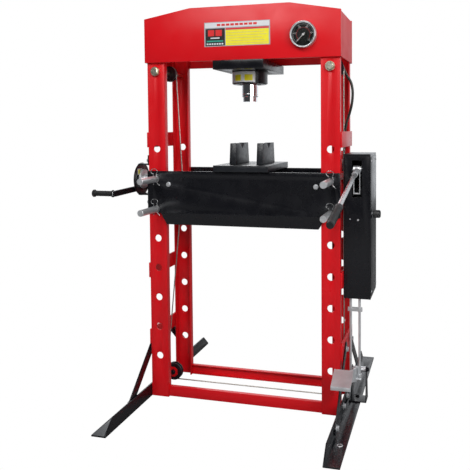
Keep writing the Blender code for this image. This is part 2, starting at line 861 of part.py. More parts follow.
def make_pump_lever():
    """The lever hinges in the cabinet's slot. The handle is a tube pushed over the lever's stub."""
    pivot = Vector(LEVER_PIVOT)
    down = Vector((0.0, -math.cos(HANDLE_SLOPE), -math.sin(HANDLE_SLOPE)))
    start, end = HANDLE_REACH
    lever = bar("pump_lever", pivot - Vector((0.017, 0, 0)), pivot + Vector((0.017, 0, 0)), 0.015, ZINC, 24)
    stub = bar("pump_lever_stub", pivot, pivot + down * (start + 0.040), 0.0060, sides=16)
    join(lever, stub)
    turned(
        "pump_handle",
        [
            (0.0065, -start),
            (HANDLE_RADIUS, -start),
            (HANDLE_RADIUS, -end),
            (0.0065, -end),
        ],
        pivot,
        -down,
        STEEL,
        20,
    )
    g0, g1 = GRIP_REACH
    turned(
        "handle_grip",
        [
            (HANDLE_RADIUS + FIT, -g0),
            (0.0145, -g0),
            (0.0155, -g0 - 0.006),
            (0.0145, -g0 - 0.014),
            (0.0145, -g1 + 0.004),
            (0.0125, -g1 - 0.004),
            (0.0, -g1 - 0.004),
            (0.0, -end - FIT),
            (HANDLE_RADIUS + FIT, -end - FIT),
        ],
        pivot,
        -down,
        RUBBER,
        20,
    )


def make_release_knob():
    y, z = KNOB_AT
    x0, x1 = KNOB_X
    turned(
        "release_knob",
        [
            (0.0, x1),
            (KNOB_RADIUS - 0.003, x1),
            (KNOB_RADIUS, x1 - 0.003),
            (KNOB_RADIUS, x0),
            (0.006, x0),
            (0.006, CABINET_X[1] - 0.020),
            (0.0, CABINET_X[1] - 0.020),
        ],
        (0, y, z),
        (1, 0, 0),
        BLACK,
        24,
    )


def make_pedal():
    """A tread on an arm that hinges behind it. The two rods stand on the arm's cross bar."""
    px, py, pz = PEDAL_PIVOT
    x0, x1 = PEDAL_X
    (y0, y1), (z0, z1) = PEDAL_Y, PEDAL_Z
    pedal = plate(
        "pedal",
        [(y0, z0), (y1, z1), (y1, z1 + PEDAL_THICK), (y0, z0 + PEDAL_THICK)],
        "YZ",
        x0,
        x1,
        ZINC,
    )
    arm = plate(
        "pedal_arm",
        [(y0 + 0.03, z0 + 0.0135), (y1, z1 + 0.001), (py + 0.008, pz + 0.012), (py + 0.008, pz - 0.012), (ROD_Y, pz - 0.012)],
        "YZ",
        px - 0.004,
        px + 0.004,
    )
    sleeve = bar("pedal_sleeve", (px - 0.030, py, pz), (px + 0.030, py, pz), 0.012)
    cross = bar("pedal_cross", (ROD_X[0] - 0.008, ROD_Y, pz), (ROD_X[1] + 0.008, ROD_Y, pz), 0.008)
    join(pedal, arm, sleeve, cross)
    foot_of_rods = pz + 0.008 + 0.001
    rod = bar("pedal_linkage", (ROD_X[0], ROD_Y, foot_of_rods), (ROD_X[0], ROD_Y, ROD_TOP), ROD_RADIUS, ZINC, 16)
    other = bar("pedal_linkage_other", (ROD_X[1], ROD_Y, foot_of_rods), (ROD_X[1], ROD_Y, ROD_TOP), ROD_RADIUS, sides=16)
    tie = box(
        "pedal_linkage_tie",
        (ROD_X[0] - 0.012, ROD_Y - 0.004, 0.456),
        (ROD_X[1] + 0.012, ROD_Y + 0.004, 0.474),
    )
    join(rod, other, tie)


def make_hose():
    """The hose ends straight down, just above the pump's elbow."""
    tube("hose", smooth_route(HOSE_ROUTE, 3), HOSE_RADIUS, RUBBER)


def main():
    for side_name, side in (("left", -1), ("right", 1)):
        for end_name, end in (("front", -1), ("rear", 1)):
            make_post(side_name, side, end_name, end)
            make_brace(side_name, side, end_name, end)
        make_ties(side_name, side)
        make_foot(side_name, side)
    for end_name, end in (("front", -1), ("rear", 1)):
        make_base_bar(end_name, end)
    make_head()
    make_cylinder()
    make_gauge()
    make_bed()
    make_press_plate()
    make_pins()
    make_pulleys()
    make_ropes()
    make_winch()
    make_pump_cabinet()
    make_pump_lever()
    make_release_knob()
    make_pedal()
    make_hose()


main()
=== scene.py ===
"""The looks of a two-column hydraulic shop press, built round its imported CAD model.

Lengths are in metres. Positions are in the press's own frame, whose Z axis runs up the ram and whose front
is towards -Y; at() moves them into the row's frame.
"""

import json
import math

import bmesh
import bpy
from mathutils import Matrix, Vector

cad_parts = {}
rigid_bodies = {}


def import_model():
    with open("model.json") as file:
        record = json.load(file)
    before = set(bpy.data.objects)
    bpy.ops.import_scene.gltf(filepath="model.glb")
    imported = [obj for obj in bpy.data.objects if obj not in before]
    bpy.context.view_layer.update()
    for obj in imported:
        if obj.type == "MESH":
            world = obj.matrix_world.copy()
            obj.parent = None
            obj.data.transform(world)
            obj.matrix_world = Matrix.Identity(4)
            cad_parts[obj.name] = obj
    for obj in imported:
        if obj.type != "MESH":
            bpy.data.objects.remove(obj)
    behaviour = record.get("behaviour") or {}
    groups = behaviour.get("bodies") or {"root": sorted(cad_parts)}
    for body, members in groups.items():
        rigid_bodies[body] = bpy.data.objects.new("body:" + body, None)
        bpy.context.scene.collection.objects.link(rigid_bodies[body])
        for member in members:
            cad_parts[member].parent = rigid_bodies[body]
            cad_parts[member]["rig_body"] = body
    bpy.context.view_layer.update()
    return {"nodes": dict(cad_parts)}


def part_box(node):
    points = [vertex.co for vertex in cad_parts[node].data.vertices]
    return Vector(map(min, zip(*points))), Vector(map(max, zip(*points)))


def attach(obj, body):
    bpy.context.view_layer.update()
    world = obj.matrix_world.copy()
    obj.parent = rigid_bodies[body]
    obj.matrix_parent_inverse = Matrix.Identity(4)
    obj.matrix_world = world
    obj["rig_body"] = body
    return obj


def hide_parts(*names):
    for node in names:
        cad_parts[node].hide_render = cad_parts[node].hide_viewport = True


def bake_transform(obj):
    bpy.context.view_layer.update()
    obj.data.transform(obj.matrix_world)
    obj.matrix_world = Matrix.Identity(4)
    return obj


for leftover in list(bpy.data.objects):
    bpy.data.objects.remove(leftover)
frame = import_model()
NODES = frame["nodes"]

# Places on the CAD model that the pieces below fit to
COLUMN_X = 0.411
HEAD_FACE = 0.1645
BED_FACE = 0.1635
BRACE_FACE = 0.4670
FOOT_FACE = 0.4604
PIN_HEIGHTS = {"lower": 0.897, "upper": 1.037}
BED_SPACER_AT = (0.348, 1.013)
UPPER_PULLEY_Z = 1.537
LOWER_PULLEY_AT = (0.4065, 0.066)
GAUGE_AT = (0.2975, 1.674)
WINCH_AXIS = (-0.060, 1.0275)
CRANK_AXIS = (-0.020, 0.984)
GRIP_AXIS = (-0.297, 0.979)
CABINET_X = (0.4622, 0.5795)
CABINET_Z = (0.517, 1.155)
LEVER_PIVOT = (0.520, -0.092, 1.088)
HANDLE_SLOPE = math.radians(11.9)
KNOB_AXIS = (-0.060, 0.889)
PEDAL_AXIS = (0.030, 0.150)
ROD_XS, ROD_Y = (0.4895, 0.5290), -0.090

post_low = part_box("post_front_left")[0]
post_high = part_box("post_rear_right")[1]
ORIGIN = Vector(((post_low.x + post_high.x) / 2, (post_low.y + post_high.y) / 2, 0.0))


def at(x, y, z):
    return Vector((x, y, z)) + ORIGIN


# Camera, light and floor


def set_camera():
    """Eye at about 0.7 of the press's height, to its right, looking slightly down."""
    yaw, pitch, roll = math.radians(14.6931), math.radians(2.5167), math.radians(-0.3457)
    forward = Vector((-math.sin(yaw) * math.cos(pitch), math.cos(yaw) * math.cos(pitch), -math.sin(pitch)))
    right = Vector((math.cos(yaw), math.sin(yaw), 0.0))
    up = right.cross(forward)
    rolled_right = right * math.cos(roll) + up * math.sin(roll)
    rolled_up = up * math.cos(roll) - right * math.sin(roll)
    data = bpy.data.cameras.new("camera")
    data.sensor_width = 36.0
    data.lens = 47.37
    data.shift_x, data.shift_y = -0.100, -0.170
    camera = bpy.data.objects.new("camera", data)
    turn = Matrix((rolled_right, rolled_up, -forward)).transposed()
    camera.matrix_world = Matrix.Translation(at(0.8875, -2.7975, 1.2714)) @ turn.to_4x4()
    bpy.context.scene.collection.objects.link(camera)
    bpy.context.scene.camera = camera


def softbox(name, place, target, size, watts, colour=(1.0, 1.0, 1.0)):
    data = bpy.data.lights.new(name, "AREA")
    data.shape = "RECTANGLE"
    data.size, data.size_y = size
    data.energy = watts
    data.color = colour
    lamp = bpy.data.objects.new(name, data)
    lamp.location = at(*place)
    lamp.rotation_euler = (Vector(target) - Vector(place)).to_track_quat("-Z", "Y").to_euler()
    bpy.context.scene.collection.objects.link(lamp)


def set_world():
    """A white studio: bright behind the press, dim in front of it, and plain white to look at."""
    world = bpy.data.worlds.new("studio")
    world.use_nodes = True
    bpy.context.scene.world = world
    tree = world.node_tree
    tree.nodes.clear()
    output = tree.nodes.new("ShaderNodeOutputWorld")
    mix = tree.nodes.new("ShaderNodeMixShader")
    seen = tree.nodes.new("ShaderNodeBackground")
    lit = tree.nodes.new("ShaderNodeBackground")
    path = tree.nodes.new("ShaderNodeLightPath")
    where = tree.nodes.new("ShaderNodeTexCoord")
    split = tree.nodes.new("ShaderNodeSeparateXYZ")
    ramp = tree.nodes.new("ShaderNodeMapRange")
    ramp.interpolation_type = "SMOOTHSTEP"
    ramp.inputs["From Min"].default_value = -0.15
    ramp.inputs["From Max"].default_value = 0.75
    ramp.inputs["To Min"].default_value = 0.05
    ramp.inputs["To Max"].default_value = 0.95
    tree.links.new(where.outputs["Generated"], split.inputs[0])
    tree.links.new(split.outputs["Y"], ramp.inputs["Value"])
    tree.links.new(ramp.outputs["Result"], lit.inputs["Strength"])
    tree.links.new(path.outputs["Is Camera Ray"], mix.inputs["Fac"])
    tree.links.new(lit.outputs[0], mix.inputs[1])
    tree.links.new(seen.outputs[0], mix.inputs[2])
    tree.links.new(mix.outputs[0], output.inputs["Surface"])
    lit.inputs["Color"].default_value = (0.93, 0.96, 1.0, 1.0)
    seen.inputs["Color"].default_value = (1.0, 1.0, 1.0, 1.0)


def set_stage():
    """A floor that the camera sees as plain white and the press sees as dull grey, and three soft lamps."""
    bm = bmesh.new()
    bmesh.ops.create_grid(bm, x_segments=1, y_segments=1, size=9.0)
    mesh = bpy.data.meshes.new("floor")
    bm.to_mesh(mesh)
    bm.free()
    floor = bpy.data.objects.new("floor", mesh)
    floor.location = (0.0, 0.0, -0.0003)
    bpy.context.scene.collection.objects.link(floor)
    pale = bpy.data.materials.new("floor_white")
    pale.use_nodes = True
    tree = pale.node_tree
    tree.nodes.clear()
    output = tree.nodes.new("ShaderNodeOutputMaterial")
    mix = tree.nodes.new("ShaderNodeMixShader")
    path = tree.nodes.new("ShaderNodeLightPath")
    dull = tree.nodes.new("ShaderNodeBsdfDiffuse")
    dull.inputs["Color"].default_value = (0.30, 0.30, 0.30, 1.0)
    seen = tree.nodes.new("ShaderNodeEmission")
    seen.inputs["Color"].default_value = (1.0, 1.0, 1.0, 1.0)
    tree.links.new(path.outputs["Is Camera Ray"], mix.inputs["Fac"])
    tree.links.new(dull.outputs[0], mix.inputs[1])
    tree.links.new(seen.outputs[0], mix.inputs[2])
    tree.links.new(mix.outputs[0], output.inputs["Surface"])
    mesh.materials.append(pale)
    softbox("key_right", (3.3, -3.4, 2.7), (0.0, 0.0, 0.95), (2.4, 2.4), 115.0)
    softbox("front_high", (-0.6, -3.9, 4.0), (0.0, 0.0, 0.9), (3.0, 2.0), 125.0)
    softbox("rear_high", (-1.5, 3.5, 3.6), (0.0, 0.0, 0.9), (2.6, 2.0), 60.0)
    bpy.context.scene.view_settings.view_transform = "Standard"


# Materials


def ramp_between(tree, source, low, high, start=0.35, end=0.65):
    ramp = tree.nodes.new("ShaderNodeValToRGB")
    ramp.color_ramp.elements[0].position, ramp.color_ramp.elements[1].position = start, end
    ramp.color_ramp.elements[0].color = (*low, 1.0)
    ramp.color_ramp.elements[1].color = (*high, 1.0)
    tree.links.new(source, ramp.inputs["Fac"])
    return ramp.outputs["Color"]


def noise(tree, coords, scale, detail=3.0, stretch=(1.0, 1.0, 1.0)):
    mapping = tree.nodes.new("ShaderNodeMapping")
    mapping.inputs["Scale"].default_value = stretch
    texture = tree.nodes.new("ShaderNodeTexNoise")
    texture.inputs["Scale"].default_value = scale
    texture.inputs["Detail"].default_value = detail
    tree.links.new(coords, mapping.inputs["Vector"])
    tree.links.new(mapping.outputs["Vector"], texture.inputs["Vector"])
    return texture.outputs["Fac"]


def finish(
    name,
    colour,
    shade,
    rough,
    metallic=0.0,
    specular=0.5,
    cloud=9.0,
    grain=400.0,
    bump=0.04,
    depth=0.0004,
    stretch=(1.0, 1.0, 1.0),
):
    """A procedural surface: two close shades in clouds, a fine grain in the bump and uneven gloss."""
    material = bpy.data.materials.new(name)
    material.use_nodes = True
    tree = material.node_tree
    shader = tree.nodes["Principled BSDF"]
    coords = tree.nodes.new("ShaderNodeTexCoord").outputs["Object"]
    tone = ramp_between(tree, noise(tree, coords, cloud, 4.0, stretch), colour, shade, 0.3, 0.7)
    tree.links.new(tone, shader.inputs["Base Color"])
    gloss = tree.nodes.new("ShaderNodeMapRange")
    gloss.inputs["From Min"].default_value = 0.3
    gloss.inputs["From Max"].default_value = 0.7
    gloss.inputs["To Min"].default_value = max(0.02, rough * 0.8)
    gloss.inputs["To Max"].default_value = min(1.0, rough * 1.25)
    tree.links.new(noise(tree, coords, cloud * 4.0, 5.0), gloss.inputs["Value"])
    tree.links.new(gloss.outputs["Result"], shader.inputs["Roughness"])
    ripple = tree.nodes.new("ShaderNodeBump")
    ripple.inputs["Strength"].default_value = bump
    ripple.inputs["Distance"].default_value = depth
    tree.links.new(noise(tree, coords, grain, 2.0, stretch), ripple.inputs["Height"])
    tree.links.new(ripple.outputs["Normal"], shader.inputs["Normal"])
    shader.inputs["Metallic"].default_value = metallic
    shader.inputs["Specular IOR Level"].default_value = specular
    return material


def glass():
    material = bpy.data.materials.new("gauge_glass")
    material.use_nodes = True
    tree = material.node_tree
    shader = tree.nodes["Principled BSDF"]
    coords = tree.nodes.new("ShaderNodeTexCoord").outputs["Object"]
    smear = ramp_between(tree, noise(tree, coords, 30.0), (0.02, 0.02, 0.02), (0.07, 0.07, 0.07))
    tree.links.new(smear, shader.inputs["Roughness"])
    shader.inputs["Transmission Weight"].default_value = 1.0
    shader.inputs["IOR"].default_value = 1.45
    shader.inputs["Base Color"].default_value = (1.0, 1.0, 1.0, 1.0)
    return material


def printed(name, colour, shade):
    """Ink or film of one flat colour."""
    return finish(name, colour, shade, 0.40, cloud=40.0, grain=900.0, bump=0.03)


MAT = {
    "red": finish(
        "red_enamel", (0.76, 0.007, 0.013), (0.68, 0.005, 0.010), 0.34,
        specular=0.35, cloud=3.0, grain=260.0, bump=0.05,
    ),
    "black": finish(
        "black_enamel", (0.0035, 0.0036, 0.0055), (0.0055, 0.0058, 0.0085), 0.26,
        specular=0.50, cloud=4.0, grain=300.0, bump=0.05,
    ),
    "cast": finish(
        "black_casting", (0.006, 0.007, 0.010), (0.014, 0.016, 0.020), 0.36,
        specular=0.5, cloud=22.0, grain=210.0, bump=0.35, depth=0.0008,
    ),
    "zinc": finish(
        "zinc_plate", (0.66, 0.68, 0.70), (0.82, 0.83, 0.85), 0.40,
        metallic=0.75, cloud=26.0, grain=520.0, bump=0.08,
    ),
    "yellow_zinc": finish(
        "yellow_zinc", (0.72, 0.66, 0.46), (0.86, 0.84, 0.72), 0.30,
        metallic=1.0, cloud=60.0, grain=520.0, bump=0.06,
    ),
    "chrome": finish(
        "hard_chrome", (0.80, 0.82, 0.85), (0.88, 0.89, 0.90), 0.07,
        metallic=1.0, cloud=14.0, grain=900.0, bump=0.02, stretch=(1.0, 1.0, 12.0),
    ),
    "steel": finish(
        "drawn_steel", (0.42, 0.42, 0.43), (0.60, 0.60, 0.60), 0.28,
        metallic=1.0, cloud=18.0, grain=600.0, bump=0.10, stretch=(1.0, 0.15, 1.0),
    ),
    "wire": finish(
        "wire_rope", (0.42, 0.40, 0.36), (0.62, 0.60, 0.55), 0.38,
        metallic=1.0, cloud=90.0, grain=900.0, bump=0.2,
    ),
    "rubber": finish(
        "black_rubber", (0.008, 0.008, 0.009), (0.014, 0.014, 0.015), 0.50,
        specular=0.45, cloud=30.0, grain=700.0, bump=0.25,
    ),
    "hose": finish(
        "hose_rubber", (0.010, 0.011, 0.008), (0.018, 0.019, 0.014), 0.32,
        specular=0.6, cloud=50.0, grain=900.0, bump=0.3,
    ),
    "plastic": finish(
        "black_plastic", (0.006, 0.006, 0.007), (0.010, 0.010, 0.011), 0.34,
        specular=0.5, cloud=40.0, grain=800.0, bump=0.12,
    ),
    "dial": finish(
        "dial_black", (0.004, 0.006, 0.004), (0.007, 0.009, 0.007), 0.55,
        specular=0.3, cloud=60.0, grain=900.0, bump=0.03,
    ),
    "white": finish(
        "white_ink", (0.86, 0.86, 0.86), (0.80, 0.80, 0.80), 0.45,
        cloud=60.0, grain=900.0, bump=0.03,
    ),
    "grey": printed("label_grey", (0.36, 0.37, 0.40), (0.42, 0.43, 0.46)),
    "pale": printed("label_pale", (0.70, 0.71, 0.74), (0.76, 0.77, 0.79)),
    "yellow": printed("label_yellow", (0.88, 0.76, 0.010), (0.92, 0.82, 0.02)),
    "ink": finish(
        "label_black", (0.004, 0.004, 0.004), (0.007, 0.007, 0.007), 0.35,
        cloud=40.0, grain=900.0, bump=0.03,
    ),
    "label_red": printed("label_red", (0.66, 0.010, 0.012), (0.72, 0.014, 0.016)),
    "label_green": printed("label_green", (0.02, 0.30, 0.22), (0.03, 0.36, 0.26)),
    "glass": glass(),
}


# Shapes


class Shape:
    """A mesh put together from simple solids, all in the press's own frame."""

    def __init__(self):
        self.bm = bmesh.new()

    def _take(self, part, matrix, bevel=0.0):
        if bevel:
            sharp = [e for e in part.edges if len(e.link_faces) == 2 and e.calc_face_angle() > math.radians(30)]
            bmesh.ops.bevel(
                part, geom=sharp, offset=bevel, segments=2, profile=0.6, affect="EDGES", clamp_overlap=True
            )
        bmesh.ops.transform(part, matrix=matrix, verts=part.verts)
        mesh = bpy.data.meshes.new("part")
        part.to_mesh(mesh)
        part.free()
        self.bm.from_mesh(mesh)
        bpy.data.meshes.remove(mesh)
        return self

    def box(self, low, high, bevel=0.0):
        low, high = Vector(low), Vector(high)
        part = bmesh.new()
        bmesh.ops.create_cube(part, size=1.0)
        bmesh.ops.scale(part, vec=high - low, verts=part.verts)
        return self._take(part, Matrix.Translation((low + high) / 2), bevel)

    def rod(self, start, end, radius, sides=24, bevel=0.0, end_radius=None):
        start, end = Vector(start), Vector(end)
        part = bmesh.new()
        far = radius if end_radius is None else end_radius
        depth = (end - start).length
        bmesh.ops.create_cone(part, cap_ends=True, segments=sides, radius1=radius, radius2=far, depth=depth)
        turn = (end - start).to_track_quat("Z", "Y").to_matrix().to_4x4()
        return self._take(part, Matrix.Translation((start + end) / 2) @ turn, bevel)

    def prism(self, outline, direction, low, high, bevel=0.0):
        """An outline of 3-D points carried along direction from low to high."""
        direction = Vector(direction)
        part = bmesh.new()
        face = part.faces.new([part.verts.new(Vector(p) + direction * low) for p in outline])
        moved = bmesh.ops.extrude_face_region(part, geom=[face])["geom"]
        corners = [g for g in moved if isinstance(g, bmesh.types.BMVert)]
        bmesh.ops.translate(part, vec=direction * (high - low), verts=corners)
        bmesh.ops.recalc_face_normals(part, faces=part.faces)
        return self._take(part, Matrix.Identity(4), bevel)

    def lathe(self, profile, centre, axis, sides=40):
        """A closed profile of (radius, height) turned about an axis through centre."""
        turn = Vector(axis).to_track_quat("Z", "Y").to_matrix()
        rings = []
        for n in range(sides):
            a = 2 * math.pi * n / sides
            spots = [Vector((r * math.cos(a), r * math.sin(a), h)) for r, h in profile]
            rings.append([self.bm.verts.new(Vector(centre) + turn @ spot) for spot in spots])
        made = []
        for one, other in zip(rings, rings[1:] + rings[:1]):
            for k in range(len(profile)):
                m = (k + 1) % len(profile)
                made.append(self.bm.faces.new((one[k], one[m], other[m], other[k])))
        bmesh.ops.recalc_face_normals(self.bm, faces=made)
        return self

    def sweep(self, points, radius, sides=12, lobes=0, pitch=0.045, closed=False):
        """A round or stranded section carried along points, without twisting unless it has lobes."""
        points = [Vector(p) for p in points]
        count = len(points)
        tangents = []
        for n in range(count):
            before = points[n - 1] if n or closed else points[n]
            after = points[(n + 1) % count] if n < count - 1 or closed else points[n]
            tangents.append((after - before).normalized())
        side = tangents[0].orthogonal().normalized()
        rings, length = [], 0.0
        for n, (point, tangent) in enumerate(zip(points, tangents)):
            if n:
                length += (point - points[n - 1]).length
                side = (side - tangent * side.dot(tangent)).normalized()
            other = tangent.cross(side)
            twist = 2 * math.pi * length / pitch if lobes else 0.0
            ring = []
            for k in range(sides):
                a = 2 * math.pi * k / sides
                r = radius * (1.0 - 0.16 * (0.5 - 0.5 * math.cos(lobes * a))) if lobes else radius
                spoke = side * math.cos(a + twist) + other * math.sin(a + twist)
                ring.append(self.bm.verts.new(point + spoke * r))
            rings.append(ring)
        pairs = list(zip(rings, rings[1:])) + ([(rings[-1], rings[0])] if closed else [])
        for one, other in pairs:
            for k in range(sides):
                m = (k + 1) % sides
                self.bm.faces.new((one[k], one[m], other[m], other[k]))
        if not closed:
            self.bm.faces.new(list(reversed(rings[0])))
            self.bm.faces.new(rings[-1])
        return self

    def hex_head(self, base, direction, across, height, washer=0.0, thick=0.002):
        """A hexagon head on a washer, standing on base."""
        base, direction = Vector(base), Vector(direction).normalized()
        lift = 0.0
        if washer:
            self.rod(base, base + direction * thick, washer, 28, 0.0004)
            lift = thick
        start = base + direction * lift
        radius = across / math.sqrt(3)
        self.rod(start, start + direction * height * 0.82, radius, 6, 0.0003)
        self.rod(start + direction * height * 0.82, start + direction * height, radius * 0.97, 24, 0.0, radius * 0.84)
        return self

    def done(self, name, body, material, slot, smooth=35.0):
        bmesh.ops.translate(self.bm, vec=ORIGIN, verts=self.bm.verts)
        mesh = bpy.data.meshes.new(name)
        self.bm.to_mesh(mesh)
        self.bm.free()
        mesh.shade_smooth()
        mesh.set_sharp_from_angle(angle=math.radians(smooth))
        mesh.materials.append(MAT[material])
        obj = bpy.data.objects.new(name, mesh)
        bpy.context.scene.collection.objects.link(obj)
        if body is not None:
            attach(obj, body)
        return obj


def circle_points(centre, u, v, radius, start=0.0, end=360.0, steps=24):
    centre, u, v = Vector(centre), Vector(u), Vector(v)
    angles = [math.radians(start + (end - start) * n / steps) for n in range(steps + 1)]
    return [centre + u * radius * math.cos(a) + v * radius * math.sin(a) for a in angles]


def spaced(points, step):
    """The same route with a point about every step."""
    points = [Vector(p) for p in points]
    found = [points[0]]
    for one, other in zip(points, points[1:]):
        parts = max(1, round((other - one).length / step))
        found += [one.lerp(other, (k + 1) / parts) for k in range(parts)]
    return found


def smooth_route(points, per_span):
    points = [Vector(p) for p in points]
    ends = [2 * points[0] - points[1], *points, 2 * points[-1] - points[-2]]
    route = []
    for a, b, c, d in zip(ends, ends[1:], ends[2:], ends[3:]):
        for n in range(per_span):
            t = n / per_span
            square, cube = (2 * a - 5 * b + 4 * c - d) * t**2, (3 * b - a - 3 * c + d) * t**3
            route.append(0.5 * (2 * b + (c - a) * t + square + cube))
    return [*route, points[-1]]


def soften(node, material, width):
    """The CAD node's own shape with its sharp edges rounded, in a better material."""
    source = NODES[node]
    bm = bmesh.new()
    bm.from_mesh(source.data)
    bmesh.ops.remove_doubles(bm, verts=bm.verts, dist=0.00002)
    bmesh.ops.dissolve_limit(bm, angle_limit=math.radians(0.6), verts=bm.verts, edges=bm.edges)
    mesh = bpy.data.meshes.new(node + "_shell")
    bm.to_mesh(mesh)
    bm.free()
    shell = bpy.data.objects.new(node + "_shell", mesh)
    bpy.context.scene.collection.objects.link(shell)
    rounding = shell.modifiers.new("rounding", "BEVEL")
    rounding.width = width
    rounding.segments = 2
    rounding.limit_method = "ANGLE"
    rounding.angle_limit = math.radians(40)
    rounding.harden_normals = False
    bpy.context.view_layer.update()
    graph = bpy.context.evaluated_depsgraph_get()
    rounded = bpy.data.meshes.new_from_object(shell.evaluated_get(graph))
    shell.modifiers.clear()
    shell.data = rounded
    rounded.name = node + "_shell"
    rounded.materials.clear()
    rounded.materials.append(MAT[material])
    rounded.shade_smooth()
    rounded.set_sharp_from_angle(angle=math.radians(35))
    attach(shell, source["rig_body"])
    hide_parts(node)
    return shell


def paint(material, slot, *nodes):
    for node in nodes:
        mesh = NODES[node].data
        mesh.materials.clear()
        mesh.materials.append(MAT[material])
        mesh.shade_smooth()
        mesh.set_sharp_from_angle(angle=math.radians(35))


# The press


def frame_shells():
    sides, ends, levels = ("left", "right"), ("front", "rear"), ("upper", "middle", "lower")
    for side in sides:
        for end in ends:
            soften(f"post_{end}_{side}", "red", 0.0016)
            soften(f"brace_{side}_{end}", "black", 0.0008)
        for level in levels:
            soften(f"tie_{side}_{level}", "red", 0.0012)
        soften(f"foot_{side}", "black", 0.0010)
    for end in ends:
        soften(f"base_bar_{end}", "red", 0.0014)
        soften(f"head_plate_{end}", "red", 0.0014)
        soften(f"bed_plate_{end}", "black", 0.0012)
    soften("carriage_plate", "black", 0.0014)
    soften("press_plate", "cast", 0.0016)
    for side in sides:
        soften(f"v_block_{side}", "cast", 0.0018)
    soften("pump_cabinet", "black", 0.0008)


def plain_nodes():
    paint("black", "black_paint", "cylinder_body", "bed_spacer_left", "bed_spacer_right", "winch_frame", "winch_crank")
    paint("zinc", "zinc", "pin_left_lower", "pin_left_upper", "pin_right_lower", "pin_right_upper", "gauge_case")
    paint("zinc", "zinc", "pump_lever", "pedal", "pedal_linkage", "winch_drum")
    paint("yellow_zinc", "zinc", "pulley_axle_left", "pulley_axle_right")
    paint("chrome", "chrome", "ram")
    paint("steel", "plain_steel", "pump_handle")
    paint("cast", "plain_steel", "pump_body")
    paint("rubber", "rubber", "handle_grip", "winch_grip")
    paint("plastic", "knob_plastic", "release_knob")
    paint("white", "needle_white", "gauge_needle")
    for level in ("upper", "lower"):
        for side in ("left", "right"):
            paint("cast", "pulley_black", f"pulley_{level}_{side}")


def bolts():
    """Hexagon bolts of the feet, braces, axles and bed."""
    work = Shape()
    for side in (-1, 1):
        out = (side, 0, 0)
        for end in (-1, 1):
            work.hex_head((side * BRACE_FACE, end * 0.075, 0.276), out, 0.019, 0.0085, 0.0140)
            work.hex_head((side * BRACE_FACE, end * 0.340, 0.040), out, 0.019, 0.0085, 0.0145)
            work.hex_head((side * FOOT_FACE, end * 0.118, 0.034), out, 0.019, 0.0085, 0.0145)
        work.hex_head((side * FOOT_FACE, -0.010, 0.034), out, 0.019, 0.0085, 0.0145)
    work.done("frame_bolts", "frame", "zinc", "zinc")
    heads = Shape()
    for side in (-1, 1):
        for end in (-1, 1):
            heads.hex_head((side * COLUMN_X, end * 0.1620, UPPER_PULLEY_Z), (0, end, 0), 0.026, 0.0085)
    heads.done("axle_heads", "frame", "yellow_zinc", "zinc")
    bed = Shape()
    x, z = BED_SPACER_AT
    for side in (-1, 1):
        for end in (-1, 1):
            bed.hex_head((side * x, end * (BED_FACE + 0.0001), z), (0, end, 0), 0.017, 0.0070, 0.0112)
    bed.done("bed_bolts", "bed", "zinc", "zinc")


def retaining_clips():
    """A wire clip through each pin, in front of the bed."""
    for side_name, side in (("left", -1), ("right", 1)):
        for level, z in PIN_HEIGHTS.items():
            x, y = side * COLUMN_X, -0.192
            loop = [(0.0, -0.026), (0.0, 0.0), (0.0, 0.0215)]
            centre, radius = (0.004, 0.0375), 0.0165
            for n in range(15):
                a = math.radians(-105 - 300 * n / 14)
                loop.append((centre[0] + radius * math.cos(a), centre[1] + 0.72 * radius * math.sin(a)))
            loop += [(0.0185, 0.0120), (0.0190, 0.0), (0.0165, -0.0105), (0.0220, -0.0190), (0.0310, -0.0270)]
            route = smooth_route([(x + dx, y, z + dz) for dx, dz in loop], 3)
            ends = f"{side_name}_{level}"
            Shape().sweep(route, 0.0014, 10).done(f"clip_{ends}", f"pin_{ends}", "steel", "zinc")


def gauge():
    x, z = GAUGE_AT
    back = -HEAD_FACE - 0.0003
    bezel = Shape()
    edge = circle_points((x, back - 0.0218, z), (1, 0, 0), (0, 0, 1), 0.0556, 0, 355, 71)
    bezel.sweep(edge, 0.0024, 12, closed=True)
    bezel.done("gauge_bezel", "frame", "steel", "zinc")
    dial = Shape().rod((x, back - 0.0101, z), (x, back - 0.0106, z), 0.0508, 64)
    dial.done("gauge_dial", "frame", "dial", "black_paint")
    marks = Shape()
    face = back - 0.0106
    for n in range(51):
        a = math.radians(225 - 270 * n / 50)
        long = n % 10 == 0
        outer, inner, half = 0.0475, 0.0395 if long else 0.0435, 0.0009 if long else 0.0005
        u = Vector((math.cos(a), 0, math.sin(a)))
        v = Vector((-u.z, 0, u.x))
        hub = Vector((x, 0, z))
        near, far, width = hub + u * inner, hub + u * outer, v * half
        outline = [near - width, far - width, far + width, near + width]
        marks.prism(outline, (0, -1, 0), -face, -face + 0.0003)
    marks.done("gauge_marks", "frame", "white", "needle_white")
    inner_arc = Shape()
    arc = circle_points((x, face - 0.0002, z), (1, 0, 0), (0, 0, 1), 0.0300, -45, 225, 48)
    inner_arc.sweep(arc, 0.0007, 6).done("gauge_inner_scale", "frame", "label_red", "needle_white")
    for n in range(6):
        a = math.radians(225 - 270 * n / 5)
        text = bpy.data.curves.new(f"gauge_number_{n}", "FONT")
        text.body = str(10 * n)
        text.size = 0.0105
        text.align_x, text.align_y = "CENTER", "CENTER"
        text.extrude = 0.00015
        text.materials.append(MAT["white"])
        figure = bpy.data.objects.new(f"gauge_number_{n}", text)
        figure.location = at(x + 0.0345 * math.cos(a), face - 0.0003, z + 0.0345 * math.sin(a))
        figure.rotation_euler = (math.pi / 2, 0, 0)
        bpy.context.scene.collection.objects.link(figure)
        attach(figure, "frame")
    lens = Shape().rod((x, back - 0.0186, z), (x, back - 0.0200, z), 0.0507, 64)
    lens.done("gauge_lens", "frame", "glass", "zinc")


